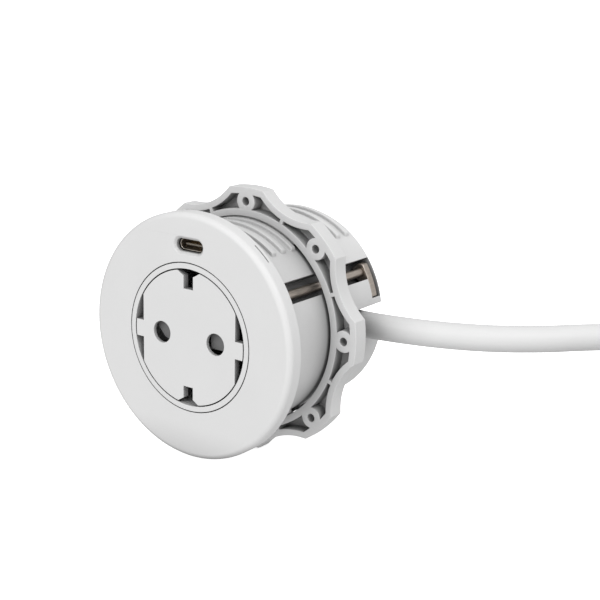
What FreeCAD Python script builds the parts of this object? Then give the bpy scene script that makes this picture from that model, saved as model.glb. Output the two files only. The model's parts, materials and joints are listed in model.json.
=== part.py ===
import FreeCAD, Part
import math, os

# Flush-mounted power socket with a retracting socket floor and a USB-C port.
# Millimetres. Modelled about the body's own axis: X to the right seen from the front,
# Y into the panel (front face at y = 0), Z up, the axis of the round body on x = z = 0.
# put() then shifts every piece so that the origin lies below the body's middle,
# at the height of the lowest lobe of the lock ring.

# ---- driving dimensions ------------------------------------------------------
FLANGE_R = 34.58          # front trim ring, outer radius
FLANGE_FLAT_R = 32.95     # where the trim ring's edge rounding starts
FLANGE_BACK = 4.74        # the face that rests on the panel
TRIM_T = 1.6              # trim ring plate
TRIM_SKIRT_IN = 33.75     # inside of the trim ring's skirt
PLATE_R = 33.6            # housing plate behind the trim ring
PLATE_Y0 = 2.7
BODY_R = 29.0             # body tube, for a 60 mm panel hole
BODY_WALL = 1.6
BODY_END = 52.8
RIB_R, RIB_W, RIB_PITCH, RIB_Y0, RIB_N = 29.8, 1.75, 4.38, 9.45, 10
RIB_A0, RIB_A0_FOOT = 54.1, 52.3      # the ribs cover the top and bottom sectors

WELL_IN, WELL_OUT, WELL_END = 19.3, 20.85, 37.2
TRIM_HOLE_R = 21.05
WELL_FLANGE_R = 23.5
WELL_SCREW_R, WELL_SCREWS = 23.7, (-30.0, 150.0, 270.0)

FACE_R, FACE_T = 19.0, 2.0            # sliding socket floor
FACE_FLAT_X = 16.3
FACE_TRAVEL = 17.5
PIN_X, PIN_HOLE_R = 9.5, 3.05         # pin holes, 19 mm apart
LEG_ANGLES = (60.0, 120.0, 240.0, 300.0)

SLOT_A, SLOT_HALF = 30.2, 3.035       # groove along the body for the clamp screw
SLOT_FLOOR_R = 24.0
CLAMP_X, CLAMP_Z = 23.30, 13.24       # clamp screw axis
CLAMP_ROD_R = 1.30
CLAW_Y0, CLAW_Y1 = 48.5, 50.9
CLAW_HUB_R, CLAW_OUT_R, CLAW_IN_R, CLAW_A0 = 2.6, 28.9, 26.25, 13.4
POCKET_A0, POCKET_A1, POCKET_Y0, POCKET_Y1, POCKET_R = 12.9, 36.2, 48.2, 52.25, 25.9

CHANNEL_Z, CHANNEL_Y0, CHANNEL_X = 4.65, 38.8, 18.0   # recess where the cord leaves

RING_Y0, RING_Y1 = 24.49, 29.49       # lock ring
RING_IN, RING_HUB_OUT = 30.1, 32.15
RING_LOBE_R, RING_VALLEY_R = 38.45, 35.15
RING_WALL_LOBE_R, RING_WALL_VALLEY_R = 36.4, 33.2
RING_BOSS_AT, RING_BOSS_R, RING_HOLE_R = 34.35, 3.1, 1.2

USB_Z, USB_W, USB_H, USB_WALL = 25.57, 8.94, 3.26, 0.3

CORD_D = 7.6
CORD_Y = 43.15
# the cord's route: inside the body, out of the recess, down onto the coil (6 turns in two layers), out of
# it on the surface, and up to the plug, which lies on the coil
RUN = [(13.2, 43.35, 0), (22.9, 42.95, 0), (33.0, 43.15, 0), (48.7, 46.6, 0), (63.5, 53.1, 0),
       (75.6, 62.9, 0), (82.6, 71.1, 0), (91.0, 81.5, -0.5), (101.5, 91.0, -3.4), (113.8, 98.8, -9.2),
       (127.3, 104.9, -16.4), (141.0, 108.9, -22.4)]
COIL_C, COIL_OUT, COIL_IN, COIL_Z0, COIL_Z1 = (163.5, 56.4), 57.8, 28.2, -37.25, -21.95
TAIL = [(107.6, 64.0, -33.6), (108.0, 80.0, -34.1), (109.5, 98.6, -34.2), (119.7, 116.2, -33.4), (137.3, 126.4, -29.5),
        (157.7, 126.4, -22.0), (175.3, 116.2, -10.2), (185.5, 98.6, -4.0), (185.5, 78.2, -3.3), (185.5, 66.8, -3.3)]

SHIFT = FreeCAD.Vector(0, -26.4, 38.45)

V = FreeCAD.Vector
YAX = V(0, 1, 0)
os.makedirs("parts", exist_ok=True)


# ---- small helpers -----------------------------------------------------------
def put(name, *shapes):
    solids = []
    for s in shapes:
        s = s.removeSplitter()
        solids += s.Solids
    out = solids[0] if len(solids) == 1 else Part.makeCompound(solids)
    out = out.copy()
    out.translate(SHIFT)
    ok = all(s.isValid() and s.Volume > 0 for s in out.Solids)
    b = out.BoundBox
    print("%-24s solids %2d  vol %9.1f  ok %s  x %.1f..%.1f y %.1f..%.1f z %.1f..%.1f" % (
        name, len(out.Solids), out.Volume, ok, b.XMin, b.XMax, b.YMin, b.YMax, b.ZMin, b.ZMax))
    out.exportStep("parts/%s.step" % name)


def cyl(r, y0, y1, x=0.0, z=0.0):
    return Part.makeCylinder(r, y1 - y0, V(x, y0, z), YAX)


def ring(ro, ri, y0, y1, x=0.0, z=0.0):
    return cyl(ro, y0, y1, x, z).cut(cyl(ri, y0 - 1, y1 + 1, x, z))


def box(x0, x1, y0, y1, z0, z1):
    return Part.makeBox(x1 - x0, y1 - y0, z1 - z0, V(x0, y0, z0))


def pol(r, a):
    return r * math.cos(math.radians(a)), r * math.sin(math.radians(a))


def prism(pts, y0, y1):
    p = [V(x, y0, z) for x, z in pts]
    return Part.Face(Part.makePolygon(p + [p[0]])).extrude(V(0, y1 - y0, 0))


def prism_x(pts, x0, x1):
    p = [V(x0, y, z) for y, z in pts]
    return Part.Face(Part.makePolygon(p + [p[0]])).extrude(V(x1 - x0, 0, 0))


def lbox(a, u0, u1, t0, t1, y0, y1):
    # a box lying along the radius at angle a: u outwards, t across
    c, s = math.cos(math.radians(a)), math.sin(math.radians(a))
    return prism([(u * c - t * s, u * s + t * c) for u, t in ((u0, t0), (u1, t0), (u1, t1), (u0, t1))], y0, y1)


def sector(r0, r1, a0, a1, y0, y1):
    am = (a0 + a1) / 2
    def p(r, a):
        x, z = pol(r, a)
        return V(x, y0, z)
    w = Part.Wire([Part.Arc(p(r1, a0), p(r1, am), p(r1, a1)).toShape(), Part.makeLine(p(r1, a1), p(r0, a1)),
                   Part.Arc(p(r0, a1), p(r0, am), p(r0, a0)).toShape(), Part.makeLine(p(r0, a0), p(r1, a0))])
    return Part.Face(w).extrude(V(0, y1 - y0, 0))


def rev(profile):
    p = [V(r, y, 0) for r, y in profile]
    return Part.Face(Part.makePolygon(p + [p[0]])).revolve(V(0, 0, 0), YAX, 360)


def turned(shape):
    # the point-symmetric twin on the other side of the body's axis
    s = shape.copy()
    s.rotate(V(0, 0, 0), YAX, 180)
    return s


def stadium(w, h, y, x=0.0, z=0.0):
    r, c = h / 2.0, (w - h) / 2.0
    a, b = V(x - c, y, z + r), V(x + c, y, z + r)
    d, e = V(x + c, y, z - r), V(x - c, y, z - r)
    return Part.Wire([Part.makeLine(a, b), Part.Arc(b, V(x + c + r, y, z), d).toShape(),
                      Part.makeLine(d, e), Part.Arc(e, V(x - c - r, y, z), a).toShape()])


def stadium_bar(w, h, y0, y1, x=0.0, z=0.0):
    return Part.Face(stadium(w, h, y0, x, z)).extrude(V(0, y1 - y0, 0))


def fuse(*shapes):
    out = shapes[0]
    return out.multiFuse(list(shapes[1:])) if len(shapes) > 1 else out


def tube(points, r, name, limit=None):
    # straight runs joined by tangent arcs, each as large as its two runs allow
    pts = [V(*p) for p in points]
    edges, at = [], pts[0]
    radii = []
    for i in range(1, len(pts) - 1):
        a, b, c = pts[i - 1], pts[i], pts[i + 1]
        u, w = (a - b), (c - b)
        lu, lw = u.Length, w.Length
        u.normalize(); w.normalize()
        turn = math.pi - u.getAngle(w)
        short = min(lu, lw)
        rad = 0.45 * short / math.tan(turn / 2)
        if limit:
            rad = min(rad, limit)
        t = rad * math.tan(turn / 2)
        p0, p1 = b + u * t, b + w * t
        mid = (u + w)
        mid.normalize()
        m = b + mid * (rad / math.cos(turn / 2) - rad)
        if (p0 - at).Length > 1e-6:
            edges.append(Part.LineSegment(at, p0).toShape())
        edges.append(Part.Arc(p0, m, p1).toShape())
        at = p1
        radii.append(rad)
    edges.append(Part.LineSegment(at, pts[-1]).toShape())
    path = Part.Wire(edges)
    d = pts[1] - pts[0]
    circle = Part.Wire([Part.makeCircle(r, pts[0], d)])
    body = path.makePipe(Part.Face(circle))
    body = body if body.Solids else Part.Solid(body)
    want = math.pi * r * r * path.Length
    print("%s: length %.1f  radii %s  volume %.1f (section x length %.1f)" % (
        name, path.Length, " ".join("%.0f" % q for q in radii), body.Volume, want))
    return body


def countersunk(x, z, y_head, r_head, r_shank, y_tip, back=False, land=0.25):
    # a countersunk screw along Y with a cross recess; its head faces -Y, or +Y if back
    h = r_head - r_shank
    s = -1.0 if back else 1.0
    ys = [y_head, y_head + s * land, y_head + s * (land + h)]
    prof = [(0, ys[0]), (r_head, ys[0]), (r_head, ys[1]), (r_shank, ys[2]), (r_shank, y_tip), (0, y_tip)]
    b = rev(prof)
    d = 0.8 * s
    lo, hi = sorted((y_head - s * 0.5, y_head + d))
    b = b.cut(box(-r_head * 0.62, r_head * 0.62, lo, hi, -0.22, 0.22)).cut(
        box(-0.22, 0.22, lo, hi, -r_head * 0.62, r_head * 0.62))
    b.translate(V(x, 0, z))
    return b


# ---- housing: plate, ribbed body tube, grooves, claw pockets, cord recess ---------------
plate = ring(PLATE_R, 21.1, PLATE_Y0, FLANGE_BACK)
tube_wall = ring(BODY_R, BODY_R - BODY_WALL, FLANGE_BACK - 0.5, BODY_END)

comb = [(28.3, RIB_Y0 - 0.15)]
for i in range(RIB_N):
    y = RIB_Y0 + RIB_PITCH * i
    comb += [(28.9, y - 0.16), (RIB_R, y), (RIB_R, y + RIB_W), (28.9, y + RIB_W + 0.16)]
comb += [(28.3, RIB_Y0 + RIB_PITCH * (RIB_N - 1) + RIB_W + 0.15)]
rib_ring = rev(comb)
top = [pol(27.5, 50.0), pol(28.95, RIB_A0_FOOT), pol(RIB_R, RIB_A0), pol(33, 58), pol(45, 62), pol(45, 118),
       pol(33, 122), pol(RIB_R, 180 - RIB_A0), pol(28.95, 180 - RIB_A0_FOOT), pol(27.5, 130.0)]
sectors = fuse(prism(top, 5, 55), prism([(-x, -z) for x, z in top], 5, 55))
ribs = rib_ring.common(sectors)

body_cyl = cyl(BODY_R, 0, 60)
troughs, pockets = [], []
for half in (0, 180):
    troughs.append(lbox(SLOT_A + half, 22.9, 30, -4.2, 4.2, 4.2, BODY_END).common(body_cyl))
    pockets.append(sector(24.8, BODY_R, 11.5 + half, 38.0 + half, 47.2, BODY_END))
channel = box(16.8, 30, 37.6, BODY_END, -5.85, 5.85).common(body_cyl)
shelf = box(12.8, 18.0, 37.6, 38.8, -9.3, 9.3)
posts = [cyl(2.2, 38.5, 46.5, 14.8, z) for z in (-6.9, 6.9)]
cover_at = [pol(24.6, 120.0), pol(24.6, 300.0)]
cover_bosses = [cyl(3.0, 40.0, 50.8, x, z).common(body_cyl) for x, z in cover_at]
well_at = [pol(WELL_SCREW_R, a) for a in WELL_SCREWS]
well_bosses = [cyl(2.5, 4.2, 12.0, x, z) for x, z in well_at]
guides = [box(6.15, 7.9, 4.2, 24.0, 22.1, 26.9), box(-7.9, -6.15, 4.2, 24.0, 22.1, 26.9)]
housing = fuse(plate, tube_wall, ribs, channel, shelf, *(troughs + pockets + posts + cover_bosses + well_bosses + guides))

cuts = []
for half in (0, 180):
    cuts.append(lbox(SLOT_A + half, SLOT_FLOOR_R, 33, -SLOT_HALF, SLOT_HALF, FLANGE_BACK, POCKET_Y1))
    cuts.append(sector(POCKET_R, 33, POCKET_A0 + half, POCKET_A1 + half, POCKET_Y0, POCKET_Y1))
    sx = 1 if half == 0 else -1
    cuts.append(cyl(CLAMP_ROD_R + 0.08, 2.0, 6.0, sx * CLAMP_X, sx * CLAMP_Z))
    cuts.append(cyl(2.95, 2.0, 3.4, sx * CLAMP_X, sx * CLAMP_Z))
cuts.append(box(CHANNEL_X, 33, CHANNEL_Y0, 54, -CHANNEL_Z, CHANNEL_Z))
cuts.append(Part.makeCylinder(3.97, 4.0, V(15.5, CORD_Y, 0), V(1, 0, 0)))
cuts.append(stadium_bar(9.5, 3.8, 2.0, 6.0, 0, USB_Z))
cuts.append(box(-4.75, 4.75, FLANGE_BACK, 8.7, 23.7, 27.45))
cuts.append(box(-6.85, 6.85, FLANGE_BACK, 31.0, 22.70, 24.04))
cuts += [cyl(0.95, 2.0, 11.0, x, z) for x, z in well_at]
cuts += [cyl(1.05, 42.0, 51.5, x, z) for x, z in cover_at]
cuts += [cyl(0.9, 40.0, 47.0, 14.8, z) for z in (-6.9, 6.9)]
housing = housing.cut(fuse(*cuts))
put("housing", housing)

# ---- rear cover ---------------------------------------------------------------------
cover = cyl(27.25, 50.8, BODY_END)
cover = cover.cut(box(16.65, 31, 50, 54, -6.0, 6.0))
for half in (0, 180):
    cover = cover.cut(sector(24.65, 31, 11.2 + half, 38.3 + half, 50, 54))
    cover = cover.cut(lbox(SLOT_A + half, 22.75, 31, -4.35, 4.35, 50, 54))
board_posts = [cyl(1.8, 47.8, 51.0, x, 13.5) for x in (-10.0, 10.0)]
cover = fuse(cover, *board_posts)
for x, z in cover_at:
    hole = rev([(0, 50), (1.15, 50), (1.15, 51.0), (2.6, 52.45), (2.6, 54), (0, 54)])
    hole.translate(V(x, 0, z))
    cover = cover.cut(hole)
cover = cover.cut(fuse(*[cyl(0.8, 47.0, 51.6, x, 13.5) for x in (-10.0, 10.0)]))
put("rear_cover", cover)
put("rear_cover_screws", *[countersunk(x, z, BODY_END - 0.1, 2.4, 1.0, 43.5, back=True) for x, z in cover_at])

# ---- trim ring: the front ring that clips over the plate ---------------------------------
c45 = math.sqrt(0.5)
er, ey = FLANGE_R - FLANGE_FLAT_R, 1.65
prof = Part.Wire([
    Part.makeLine(V(TRIM_HOLE_R, 0, 0), V(FLANGE_FLAT_R, 0, 0)),
    Part.Arc(V(FLANGE_FLAT_R, 0, 0), V(FLANGE_FLAT_R + er * c45, ey * (1 - c45), 0), V(FLANGE_R, ey, 0)).toShape(),
    Part.makeLine(V(FLANGE_R, ey, 0), V(FLANGE_R, FLANGE_BACK, 0)),
    Part.makeLine(V(FLANGE_R, FLANGE_BACK, 0), V(TRIM_SKIRT_IN, FLANGE_BACK, 0)),
    Part.makeLine(V(TRIM_SKIRT_IN, FLANGE_BACK, 0), V(TRIM_SKIRT_IN, TRIM_T, 0)),
    Part.makeLine(V(TRIM_SKIRT_IN, TRIM_T, 0), V(TRIM_HOLE_R, TRIM_T, 0)),
    Part.makeLine(V(TRIM_HOLE_R, TRIM_T, 0), V(TRIM_HOLE_R, 0, 0))])
trim = Part.Face(prof).revolve(V(0, 0, 0), YAX, 360)
window = fuse(stadium_bar(9.12, 3.52, -1, 3, 0, USB_Z),
              Part.makeLoft([stadium(10.4, 4.9, 0, 0, USB_Z), stadium(9.0, 3.5, 0.7, 0, USB_Z)], True, True))
trim = trim.cut(window).cut(sector(33.0, 36.0, 44.8, 54.7, 3.2, 3.55))
put("trim_ring", trim)

# ---- socket well: the tube that guides the floor -----------------------------------------
well = rev([(WELL_IN, 0), (WELL_OUT, 0), (WELL_OUT, 1.7), (WELL_FLANGE_R, 1.7), (WELL_FLANGE_R, PLATE_Y0),
            (WELL_OUT, PLATE_Y0), (WELL_OUT, WELL_END), (WELL_IN, WELL_END), (WELL_IN, 22.9), (18.3, 22.9),
            (18.3, 21.9), (WELL_IN, 21.9)])
well = fuse(well, *[cyl(2.7, 1.7, PLATE_Y0, x, z).cut(cyl(20.0, 0, 5)) for x, z in well_at])
wcuts = []
for x, z in well_at:
    h = rev([(0, 0), (2.0, 0), (2.0, 1.82), (1.05, 2.77), (1.05, 4), (0, 4)])
    h.translate(V(x, 0, z))
    wcuts.append(h)
for a in LEG_ANGLES:
    wcuts.append(lbox(a, 18.0, 22.0, -1.8, 1.8, 23.95, 38))
    wcuts.append(lbox(a, 17.0, 19.3, -1.8, 1.8, 21.0, 24.5))
for a in (0, 180):
    wcuts.append(lbox(a, 19.0, 22.0, -3.1, 3.1, 32.9, 35.1))
well = well.cut(fuse(*wcuts))
put("socket_well", well)
put("socket_well_screws", *[countersunk(x, z, 1.72, 1.8, 0.9, 10.0, land=0.05) for x, z in well_at])

# ---- contact carrier, contacts, earth clip ------------------------------------------------
carrier = fuse(cyl(19.15, 22.95, WELL_END), lbox(0, 18.5, 20.4, -2.9, 2.9, 33.0, 34.9), lbox(180, 18.5, 20.4, -2.9, 2.9, 33.0, 34.9))
ccuts = []
for sx in (-1, 1):
    ccuts.append(cyl(2.75, 22, 25, sx * PIN_X, 0))
    ccuts.append(cyl(3.5, 23.9, 38, sx * PIN_X, 0))
    for z in (-8.2, 8.2):
        ccuts.append(cyl(1.75, 22, 31.0, sx * 14.6, z))
ccuts += [box(-1.75, 1.75, 22, 38, 13.9, 20), box(-1.75, 1.75, 22, 38, -20, -13.9)]
ccuts += [lbox(a, 17.1, 20, -1.8, 1.8, 22, 38) for a in LEG_ANGLES]
ccuts += [box(-4.2, 4.2, 22, 33.5, -10.5, 10.5)]
carrier = carrier.cut(fuse(*ccuts))
put("contact_carrier", carrier)


def contact(sx):
    b = fuse(cyl(3.4, 24.0, 37.4, sx * PIN_X, 0), box(sx * PIN_X - 2.95, sx * PIN_X + 2.95, 37.3, 42.4, -2.95, 2.95))
    b = b.cut(fuse(cyl(2.45, 23, 36.6, sx * PIN_X, 0), box(sx * PIN_X - 0.4, sx * PIN_X + 0.4, 23, 34.5, -4, 4),
                   cyl(1.35, 38.4, 43, sx * PIN_X, 0), Part.makeCylinder(0.9, 4, V(sx * PIN_X, 40.2, 0), V(0, 0, 1))))
    return b


put("line_contact", contact(1))
put("neutral_contact", contact(-1))


def terminal_screw(sx):
    s = fuse(Part.makeCylinder(0.86, 2.4, V(sx * PIN_X, 40.2, 1.15), V(0, 0, 1)),
             Part.makeCylinder(1.8, 1.2, V(sx * PIN_X, 40.2, 2.97), V(0, 0, 1)))
    return s.cut(box(sx * PIN_X - 2, sx * PIN_X + 2, 39.95, 40.45, 3.7, 5))


put("terminal_screws", terminal_screw(1), terminal_screw(-1))

arm = [(38.1, 16.9), (14.0, 16.9), (9.2, 14.9), (7.6, 14.9), (5.0, 16.5)]
poly = [(y, z + 0.4) for y, z in arm] + [(y, z - 0.4) for y, z in reversed(arm)]
up = prism_x(poly, -1.4, 1.4)
down = prism_x([(y, -z) for y, z in poly], -1.4, 1.4)
put("earth_clip", fuse(box(-1.4, 1.4, 37.3, 38.1, -17.3, 17.3), up, down))

# ---- sliding floor with its legs, shutter and springs --------------------------------------
face = cyl(FACE_R, 0, FACE_T)
face = face.cut(fuse(box(FACE_FLAT_X, 20, -1, 3, 2.15, 12), box(FACE_FLAT_X, 20, -1, 3, -12, -2.65),
                     box(-20, -FACE_FLAT_X, -1, 3, 2.15, 12), box(-20, -FACE_FLAT_X, -1, 3, -12, -2.65),
                     prism([(-1.66, 13.7), (1.66, 13.7), (1.66, 17.3), (3.8, 18.55), (5.5, 19.6), (-5.5, 19.6), (-3.8, 18.55), (-1.66, 17.3)], -1, 3),
                     prism([(1.66, -14.0), (-1.66, -14.0), (-1.66, -17.4), (-3.75, -18.75), (-5.2, -19.6), (5.2, -19.6), (3.75, -18.75), (1.66, -17.4)], -1, 3)))
for sx in (-1, 1):
    face = face.cut(fuse(cyl(PIN_HOLE_R, -1, 3, sx * PIN_X, 0), cyl(3.9, 1.1, 3, sx * PIN_X, 0)))
bits = []
for a in LEG_ANGLES:
    bits.append(lbox(a, 17.4, 18.85, -1.5, 1.5, 1.5, 25.5))
    bits.append(lbox(a, 18.5, 20.4, -1.5, 1.5, 24.0, 25.5))
for x in (-5.2, 5.2):
    bits += [cyl(0.8, 1.5, 4.8, x, 4.6), cyl(1.45, 4.5, 5.2, x, 4.6)]
bits.append(box(-2.2, 2.2, 1.5, 4.6, 12.5, 13.4))
face = fuse(face, *bits)
put("sliding_floor", face)

plate2 = prism([(-12.75, 6.4), (-12.75, 0.65), (-11.4, -0.84), (-10.2, -2.1), (-9.1, -2.5), (6.3, -2.5), (6.9, -2.2),
                (12.75, -2.2), (12.75, 6.4)], 2.3, 4.3)
plate2 = plate2.cut(fuse(box(-6.15, -4.25, 2, 5, -1.98, 5.5), box(4.25, 6.15, 2, 5, -1.98, 5.5), box(-1.5, 1.5, 2, 5, 0.4, 7)))
put("pin_shutter", plate2)


def helix_spring(r, wire, p0, axis, length, turns):
    # a round-wire coil spring lying along the axis from p0
    h = Part.makeHelix(length / turns, length, r)
    c = Part.Wire([Part.makeCircle(wire / 2.0, V(r, 0, 0), V(0, 1, 0))])
    s = Part.Wire(h.Edges).makePipeShell([c], True, True)
    s = s if s.Solids else Part.Solid(s)
    rot = FreeCAD.Rotation(V(0, 0, 1), axis)
    s = s.copy()
    s.Placement = FreeCAD.Placement(p0, rot).multiply(s.Placement)
    return s


put("shutter_spring", helix_spring(0.8, 0.28, V(0, 3.3, 0.56), V(0, 0, 1), 11.75, 8))
put("floor_springs", *[helix_spring(1.3, 0.34, V(sx * 14.6, 2.2, z), V(0, 1, 0), 28.55, 11) for sx in (-1, 1) for z in (-8.2, 8.2)])

# ---- USB-C port ----------------------------------------------------------------------------
shell = stadium_bar(USB_W, USB_H, 1.95, 8.25, 0, USB_Z).cut(
    stadium_bar(USB_W - 2 * USB_WALL, USB_H - 2 * USB_WALL, 0, 7.9, 0, USB_Z))
put("usb_shell", shell)
tongue = fuse(box(-3.35, 3.35, 3.0, 7.5, 25.1, 25.8),
              stadium_bar(USB_W - 2 * USB_WALL - 0.06, USB_H - 2 * USB_WALL - 0.06, 6.4, 7.85, 0, USB_Z))
put("usb_tongue", tongue)
put("usb_board", box(-6.7, 6.7, 4.85, 30.0, 22.82, 23.92))

# ---- charger electronics ----------------------------------------------------------------
board = cyl(21.0, 46.2, 47.8).common(box(-25, 25, 40, 50, 9.8, 25))
board = board.cut(fuse(*[cyl(1.0, 46, 48, x, 13.5) for x in (-10.0, 10.0)]))
put("charger_board", board)
put("charger_board_screws", *[fuse(cyl(0.75, 45.9, 50.5, x, 13.5), cyl(1.6, 45.1, 46.2, x, 13.5)).cut(
    box(x - 2, x + 2, 44.5, 45.6, 13.3, 13.7)) for x in (-10.0, 10.0)])
put("transformer", fuse(box(-5.2, 5.2, 39.2, 46.2, 10.6, 18.6), box(-6.3, 6.3, 40.4, 44.6, 11.6, 17.6)))
put("capacitors", *[cyl(2.4, 39.6, 46.2, sx * 15.0, 11.6) for sx in (-1, 1)])

# ---- wires ----------------------------------------------------------------------------------
put("line_wire", tube([(12.95, 45.3, 0), (9.5, 45.3, 0), (9.5, 39.2, 0)], 1.1, "line_wire", 2.0))
put("neutral_wire", tube([(12.95, 43.7, 2.2), (11.4, 43.7, 2.2), (8.4, 45.9, 5.3), (-4.0, 45.9, 5.3), (-9.5, 45.9, 0.0), (-9.5, 39.2, 0)], 1.1, "neutral_wire", 3.0))
put("earth_wire", tube([(12.95, 43.7, -2.2), (11.4, 43.7, -2.2), (8.0, 45.4, -6.0), (1.4, 45.0, -7.8), (0, 41.6, -7.8), (0, 38.12, -7.8)], 1.1, "earth_wire", 3.0))
put("charger_leads", *[tube([(sx * 7.3, 42.4, 2.2), (sx * 7.3, 43.75, 2.2), (sx * 7.3, 43.75, 10.6), (sx * 7.3, 46.2, 10.6)], 0.5, "charger_lead", 0.8)
                       for sx in (-1, 1)])
put("usb_leads", *[tube([(x, 46.2, 19.9), (x, 42.0, 19.9), (x, 38.0, 23.37), (x, 30.0, 23.37)], 0.5, "usb_lead", 2.0)
                   for x in (-3.0, -1.0, 1.0, 3.0)])

# ---- cord entry ---------------------------------------------------------------------------
def xtube(ro, ri, x0, x1):
    return Part.makeCylinder(ro, x1 - x0, V(x0, CORD_Y, 0), V(1, 0, 0)).cut(
        Part.makeCylinder(ri, x1 - x0 + 2, V(x0 - 1, CORD_Y, 0), V(1, 0, 0)))


cord_hole = tube(RUN[:3], CORD_D / 2 + 0.03, "cord hole")
grommet = fuse(xtube(3.95, 3.0, 16.6, 19.0), xtube(4.3, 3.0, 18.0, 19.3)).cut(cord_hole)
put("cord_grommet", grommet)
bar = box(13.0, 16.4, 46.5, 49.0, -9.2, 9.2).cut(cord_hole)
bar = bar.cut(fuse(*[cyl(1.1, 46, 50, 14.8, z) for z in (-6.9, 6.9)]))
put("cord_clamp", bar)
put("cord_clamp_screws", *[fuse(cyl(0.88, 41.0, 49.5, 14.8, z), cyl(1.65, 49.0, 50.2, 14.8, z)).cut(
    fuse(box(13.7, 15.9, 49.6, 51, z - 0.2, z + 0.2), box(14.6, 15.0, 49.6, 51, z - 1.1, z + 1.1))) for z in (-6.9, 6.9)])

# ---- clamp screws and swing-out claws -------------------------------------------------------
def clamp_screw():
    s = fuse(cyl(2.75, 1.8, 3.38, CLAMP_X, CLAMP_Z), cyl(CLAMP_ROD_R, 3.0, 52.1, CLAMP_X, CLAMP_Z))
    return s.cut(fuse(box(CLAMP_X - 1.6, CLAMP_X + 1.6, 1, 2.7, CLAMP_Z - 0.3, CLAMP_Z + 0.3),
                      box(CLAMP_X - 0.3, CLAMP_X + 0.3, 1, 2.7, CLAMP_Z - 1.6, CLAMP_Z + 1.6)))


hub = cyl(CLAW_HUB_R, CLAW_Y0, CLAW_Y1, CLAMP_X, CLAMP_Z)
claw_arm = sector(CLAW_IN_R, CLAW_OUT_R, CLAW_A0, 29.6, CLAW_Y0, CLAW_Y1)
claw = fuse(hub, claw_arm).common(cyl(CLAW_OUT_R, 40, 60)).cut(cyl(CLAMP_ROD_R + 0.06, 40, 60, CLAMP_X, CLAMP_Z))
claw = claw.removeSplitter()
edge = [e for e in claw.Edges if abs(e.BoundBox.YMin - CLAW_Y0) < 1e-3 and abs(e.BoundBox.YMax - CLAW_Y0) < 1e-3
        and hasattr(e.Curve, "Radius") and abs(e.Curve.Radius - CLAW_OUT_R) < 1e-3]
if edge:
    claw = claw.makeFillet(0.6, edge)
put("clamp_claw_right", claw)
put("clamp_claw_left", turned(claw))
put("clamp_screw_right", clamp_screw())
put("clamp_screw_left", turned(clamp_screw()))

# ---- lock ring --------------------------------------------------------------------------------
def lobed(r_lobe, half, r_valley, y0, y1):
    edges = []
    for k in range(8):
        c = 90 - 45 * k
        p = [V(pol(r_lobe, a)[0], y0, pol(r_lobe, a)[1]) for a in (c + half, c, c - half)]
        edges.append(Part.Arc(*p).toShape())
        q = [V(pol(r, a)[0], y0, pol(r, a)[1]) for r, a in ((r_lobe, c - half), (r_valley, c - 22.5), (r_lobe, c - 45 + half))]
        edges.append(Part.Arc(*q).toShape())
    return Part.Face(Part.Wire(edges)).extrude(V(0, y1 - y0, 0))


nut = lobed(RING_LOBE_R, 9.0, RING_VALLEY_R, RING_Y0, RING_Y1)
nut_pockets = lobed(RING_WALL_LOBE_R, 8.3, RING_WALL_VALLEY_R, RING_Y0 - 1, RING_Y0 + 3.8).cut(cyl(RING_HUB_OUT, 20, 35))
keep = [cyl(RING_BOSS_R, 20, 35, *pol(RING_BOSS_AT, 90 - 45 * k)) for k in range(8)]
keep += [lbox(67.5 - 45 * k, 31, 36, -0.565, 0.565, 20, 35) for k in range(8)]
nut = nut.cut(nut_pockets.cut(fuse(*keep)))
nut = nut.cut(fuse(cyl(RING_IN, 20, 35), *[cyl(RING_HOLE_R, 20, 35, *pol(RING_BOSS_AT, 90 - 45 * k)) for k in range(8)]))
teeth = fuse(sector(29.25, 30.6, 56, 124, 25.0, 26.7), sector(29.25, 30.6, 236, 304, 25.0, 26.7))
nut = fuse(nut, teeth)
put("lock_ring", nut)

# ---- cord, coil, tie and plug ---------------------------------------------------------------
put("cord", tube(RUN, CORD_D / 2, "cord"))
r = CORD_D / 2 - 0.2
cx, cy = COIL_C
def cp(rr, zz):
    return V(cx + rr, cy, zz)
cw = Part.Wire([
    Part.makeLine(cp(COIL_IN + r, COIL_Z0), cp(COIL_OUT - r, COIL_Z0)),
    Part.Arc(cp(COIL_OUT - r, COIL_Z0), cp(COIL_OUT - r + r * c45, COIL_Z0 + r - r * c45), cp(COIL_OUT, COIL_Z0 + r)).toShape(),
    Part.makeLine(cp(COIL_OUT, COIL_Z0 + r), cp(COIL_OUT, COIL_Z1 - r)),
    Part.Arc(cp(COIL_OUT, COIL_Z1 - r), cp(COIL_OUT - r + r * c45, COIL_Z1 - r + r * c45), cp(COIL_OUT - r, COIL_Z1)).toShape(),
    Part.makeLine(cp(COIL_OUT - r, COIL_Z1), cp(COIL_IN + r, COIL_Z1)),
    Part.Arc(cp(COIL_IN + r, COIL_Z1), cp(COIL_IN + r - r * c45, COIL_Z1 - r + r * c45), cp(COIL_IN, COIL_Z1 - r)).toShape(),
    Part.makeLine(cp(COIL_IN, COIL_Z1 - r), cp(COIL_IN, COIL_Z0 + r)),
    Part.Arc(cp(COIL_IN, COIL_Z0 + r), cp(COIL_IN + r - r * c45, COIL_Z0 + r - r * c45), cp(COIL_IN + r, COIL_Z0)).toShape()])
coil = Part.Face(cw).revolve(V(cx, cy, 0), V(0, 0, 1), 360)
put("cord_coil", coil)

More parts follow.
